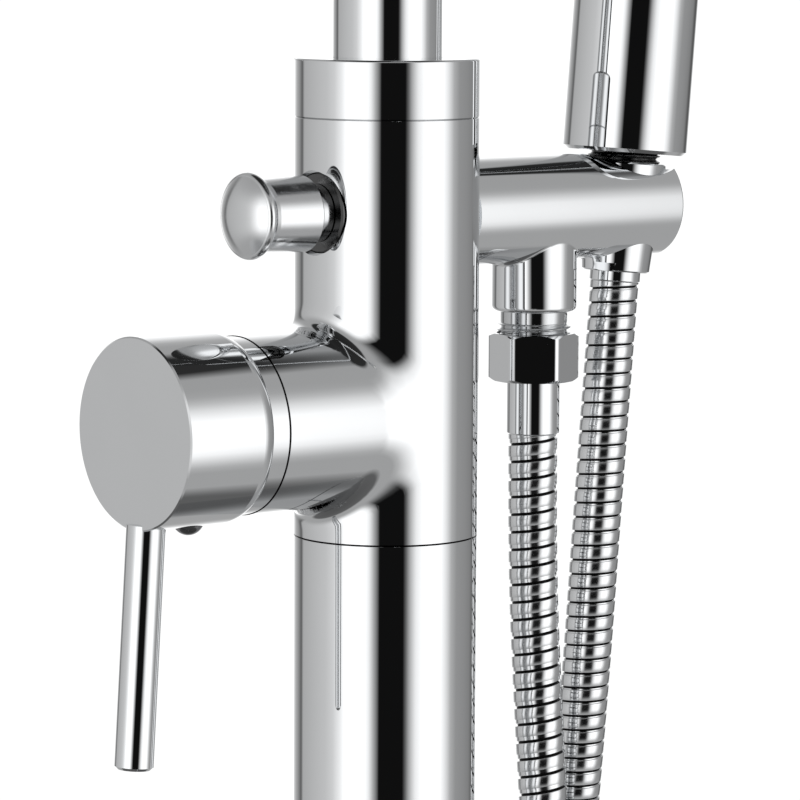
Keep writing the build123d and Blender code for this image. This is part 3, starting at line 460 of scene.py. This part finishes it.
# ---- Handle ----
# A hollow chromed cap turns and tilts on the spindle, with a slim rod as the lever.
# A dark plug hides the grub screw just behind the rod.
smoked = grained(
    "smoked_chrome", (0.27, 0.27, 0.28), (0.33, 0.33, 0.34), 0.05, 0.15, 150.0, Metallic=1.0
)
dress(chrome, "handle_cap", "handle_lever")
dress(steel, "handle_grub_screw")
dress(smoked, "handle_plug")


# ---- Diverter ----
# A waisted knob pulls a brass rod and its rubber-faced valve against a steel spring,
# and sends the water to the hand shower instead of the spout.
# dark chrome: the diverter's bush is dark chrome, and on the handset's inlet thread the same dark chrome
# is painted shade
dark_chrome = plated("dark_chrome", (0.12, 0.12, 0.12), 0.10, 0.22, 200.0, 0.00001)
satin = plated("satin_chrome", CHROME, 0.10, 0.20, 800.0, 0.000004)
dress(satin, "diverter_knob")
dress(brass, "diverter_rod", "diverter_seat")
dress(rubber, "diverter_valve", "diverter_seals")
dress(dark_chrome, "diverter_bush")
coil = new_piece("diverter_coil", nodes["diverter_spring"].data.copy())
coil.data.materials[0] = steel
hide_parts("diverter_spring")
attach(coil, "root")
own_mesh(coil)


# ---- Hand-shower arm and hose outlet ----
# A solid chromed bar with a domed end, screwed to the body by a brass union. Water leaves
# through the boss under it, past a check valve, into a G 1/2 nipple.
# G 1/2 threads are really cut here, as a helical ridge.
THREAD_PITCH = 0.001814
THREAD_DEPTH = 0.00115
THREAD_CREST = 0.01045
THREAD_LEAD = 0.0004            # plain length below the thread
THREAD_SIDES, THREAD_ROWS = 128, 16  # round it, and to each turn
THREAD_END = 0.25               # of a turn, over which the ridge rises at either end
THREAD_CREASE = radians(35)


def ring_faces(rings, sides):
    """The faces between rings of points, each ring closed."""
    return [
        (
            ring * sides + at, ring * sides + (at + 1) % sides,
            (ring + 1) * sides + (at + 1) % sides, (ring + 1) * sides + at,
        )
        for ring in range(rings - 1)
        for at in range(sides)
    ]


def threaded(name, foot, way, low, high, outline_below, outline_above):
    """A turned piece with a cut thread, from low to high, between two plain outlines."""
    rounds = np.arange(THREAD_SIDES) * tau / THREAD_SIDES
    even = np.ones(THREAD_SIDES)
    rows = [(height, radius * even) for height, radius in outline_below]
    for height in np.arange(low, high, THREAD_PITCH / THREAD_ROWS):
        ridge = 0.5 + 0.5 * np.cos(tau * height / THREAD_PITCH - rounds)
        rise = np.clip(min(height - low, high - height) / (THREAD_END * THREAD_PITCH), 0.0, 1.0)
        rows.append((height, THREAD_CREST - THREAD_DEPTH * (1 - rise * ridge)))
    rows += [(height, radius * even) for height, radius in outline_above]
    one = Vector((0.0, 1.0, 0.0)).cross(way).normalized()
    other = way.cross(one)
    points = [
        tuple(foot + way * float(height) + (one * cos(turn) + other * sin(turn)) * float(radius))
        for height, radii in rows
        for radius, turn in zip(radii, rounds)
    ]
    mesh = bpy.data.meshes.new(name)
    mesh.from_pydata(points, [], ring_faces(len(rows), THREAD_SIDES))
    mesh.shade_smooth()
    mesh.set_sharp_from_angle(angle=THREAD_CREASE)
    return new_piece(name, mesh)


NIPPLE_FOOT = Vector((0.0530, 0.0, 0.0))
NIPPLE_BORE_R, NIPPLE_TIP_R, NIPPLE_NECK_R, NIPPLE_TOP_R = 0.0068, 0.0092, 0.0095, 0.0082
BOSS_LOW = 0.8079
NIPPLE_GROOVE = 0.0032          # plain length between the thread and the boss
GROOVE_SLOPE = 0.0003
THREAD_TOP = BOSS_LOW - NIPPLE_GROOVE
nipple_low, nipple_high = (corner.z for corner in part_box("outlet_nipple"))
nipple = threaded(
    "outlet_nipple_threaded", NIPPLE_FOOT, Vector((0.0, 0.0, 1.0)),
    nipple_low + THREAD_LEAD, THREAD_TOP,
    [(nipple_high, NIPPLE_BORE_R), (nipple_low, NIPPLE_BORE_R), (nipple_low, NIPPLE_TIP_R)],
    [
        (THREAD_TOP + GROOVE_SLOPE, NIPPLE_NECK_R), (BOSS_LOW, NIPPLE_NECK_R),
        (BOSS_LOW, NIPPLE_TOP_R), (nipple_high, NIPPLE_TOP_R), (nipple_high, NIPPLE_BORE_R),
    ],
)
nipple.data.materials.append(plated("turned_chrome", (0.66, 0.67, 0.68), 0.05, 0.10, 400.0))
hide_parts("outlet_nipple")
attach(nipple, "root")
dress(chrome, "holder_arm")
dress(brass, "arm_union")
dress(acetal, "check_valve")


# ---- Hose ends ----
# A hexagon nut clamps the hose's smooth ferrule on a rubber washer at the outlet. At the other
# end the hose is crimped in the cone nut's sleeve.
dress(chrome, "hose_nut", "hose_ferrule", "hose_end")
dress(rubber, "hose_washer")


# ---- Hand shower ----
# A stick hand shower in chromed brass hangs in the arm's leaning cradle by its cone nut.
# Water rises through a plastic tube to a chamber behind silicone nozzles.
silicone = grained(
    "silicone", (0.52, 0.53, 0.55), (0.58, 0.59, 0.61), 0.40, 0.55, 600.0, Subsurface_Weight=0.05
)
dress(chrome, "cone_nut", "handset_shell")
dress(rubber, "cone_washer")
# heights above the arm's middle, along the cradle's leaning axis
INLET_LOW, HANDSET_LOW, FLANGE_LOW, FLANGE_TOP = 0.0025, 0.0148, 0.0178, 0.0218
INLET_BORE_R, INLET_TIP_R, INLET_NECK_R, INLET_FLANGE_R = 0.0052, 0.0092, 0.0099, 0.0130
inlet = threaded(
    "handset_inlet_threaded", LEAN_FOOT, LEAN_WAY, INLET_LOW + THREAD_LEAD, HANDSET_LOW,
    [(FLANGE_TOP, INLET_BORE_R), (INLET_LOW, INLET_BORE_R), (INLET_LOW, INLET_TIP_R)],
    [
        (HANDSET_LOW, INLET_NECK_R), (FLANGE_LOW, INLET_NECK_R), (FLANGE_LOW, INLET_FLANGE_R),
        (FLANGE_TOP, INLET_FLANGE_R), (FLANGE_TOP, INLET_BORE_R),
    ],
)
# painted shade: the thread is made dark for the shade it sits in under the handset
inlet.data.materials.append(dark_chrome)
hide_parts("handset_inlet")
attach(inlet, "handset")
dress(acetal, "handset_water_tube", "spray_chamber")
dress(chrome, "spray_plate")
dress(silicone, "spray_nozzles")


# ---- Spout ----
# A bent chromed tube stands on a brass foot that swivels in the collar on a rubber ring.
# Its free end carries an aerator with a moulded insert.
dress(chrome, "spout_tube", "aerator_housing")
dress(brass, "spout_foot")
dress(rubber, "spout_seal", "aerator_washer")
dress(acetal, "aerator_insert")


# ---- Studio ----
# A pale floor, and a tent of light round everything: bright screens at the left and right, a
# dark gap between them, and greys behind, each fading towards the ceiling and the floor.
TENT_R = 4.0
TENT_CENTRE = (0.0, 0.0, 0.82)
# degrees to the right of the gap's middle line, and the tent's brightness there
TENT_TONES = [
    (-180, 1.35), (-168, 1.30), (-159, 0.80), (-149, 0.48), (-139, 0.33), (-130, 0.12), (-124, 0.48),
    (-104, 0.55), (-80, 0.64), (-68, 0.76), (-58, 1.05), (-50, 1.40), (-26, 1.40), (-20, 1.10),
    (-14, 0.50), (-9.5, 0.18), (-7, 0.006), (23, 0.006), (26.5, 0.15), (31, 0.50), (39, 1.05),
    (50, 1.40), (72, 1.40), (81, 1.02), (91, 0.52), (101, 0.35), (118, 0.31), (132, 0.26),
    (142, 0.12), (150, 0.10), (167, 1.20), (180, 1.35),
]
# from the tent's lowest point (0) to its highest (1): how far it has turned to plain grey, and
# how bright that grey is
TENT_GREYING = [
    (0.0, 1.0), (0.20, 1.0), (0.235, 0.85), (0.285, 0.45), (0.33, 0.12), (0.38, 0.0), (0.60, 0.0),
    (0.646, 0.18), (0.695, 0.40), (0.742, 0.70), (0.787, 0.92), (0.83, 1.0), (1.0, 1.0),
]
TENT_GREY = [
    (0.0, 0.10), (0.095, 0.13), (0.112, 0.30), (0.125, 0.42), (0.70, 0.42), (0.882, 0.40),
    (0.892, 0.22), (0.902, 0.03), (1.0, 0.02),
]
TENT_SIDES, TENT_RINGS = 96, 48
azimuths = np.linspace(0, tau, TENT_SIDES, endpoint=False)
rises = np.linspace(-tau / 4, tau / 4, TENT_RINGS + 1)
tent_points = [
    (cos(rise) * cos(azimuth), cos(rise) * sin(azimuth), sin(rise))
    for rise in rises
    for azimuth in azimuths
]
tent_mesh = bpy.data.meshes.new("light_tent")
tent_mesh.from_pydata(tent_points, [], ring_faces(TENT_RINGS + 1, TENT_SIDES))
tent = new_piece("light_tent", tent_mesh)
tent.location = TENT_CENTRE
tent.scale = (TENT_R, TENT_R, TENT_R)
tent.visible_camera = False

tent_light = bpy.data.materials.new("tent_light")
tent_light.use_nodes = True
tent_light.node_tree.nodes.clear()
shade = Shade(tent_light.node_tree)
spot = place_on(shade)
parts = [shade.node("ShaderNodeSeparateXYZ", {}, {"Vector": spot}, axis) for axis in "XYZ"]
# turned so that the gap's middle line, behind the camera, is half way round
facing = parts[0] * cos(HEADING) + parts[1] * sin(HEADING)
beside = parts[1] * cos(HEADING) - parts[0] * sin(HEADING)
around = shade.math("ARCTAN2", beside * -1.0, facing * -1.0) / tau + 0.5
round_stops = [((degree + 180) / 360, tone) for degree, tone in TENT_TONES]
round_tone = ramp(shade, around, round_stops)
rise = parts[2] * 0.5 + 0.5
greying = ramp(shade, rise, TENT_GREYING)
grey = ramp(shade, rise, TENT_GREY)
tone = round_tone * (1 - greying) + grey * greying
glow = shade.node("ShaderNodeEmission", {}, {"Strength": tone}, "Emission")
screen = tent_light.node_tree.nodes.new("ShaderNodeOutputMaterial")
tent_light.node_tree.links.new(glow.socket, screen.inputs["Surface"])
tent_mesh.materials.append(tent_light)

FLOOR_R = 2.0
WHITE = (1.0, 1.0, 1.0, 1.0)
ring = [(FLOOR_R * cos(azimuth), FLOOR_R * sin(azimuth), 0.0) for azimuth in azimuths]
floor_mesh = bpy.data.meshes.new("studio_floor")
floor_mesh.from_pydata(ring, [], [tuple(range(TENT_SIDES))])
floor = new_piece("studio_floor", floor_mesh)
floor.visible_glossy = False
floor_paint, shader, shade = new_finish(
    "floor_paint", Roughness=0.6, Emission_Color=WHITE, Emission_Strength=0.4
)
speckle = noise(shade, place_on(shade), 3.0)
feed(shader, "Base Color", tint(shade, speckle, (0.80, 0.80, 0.80), (0.84, 0.84, 0.84)))
floor_mesh.materials.append(floor_paint)

world = bpy.data.worlds.new("world")
bpy.context.scene.world = world
world.use_nodes = True
background = world.node_tree.nodes["Background"]
background.inputs["Color"].default_value = WHITE
background.inputs["Strength"].default_value = 1.05
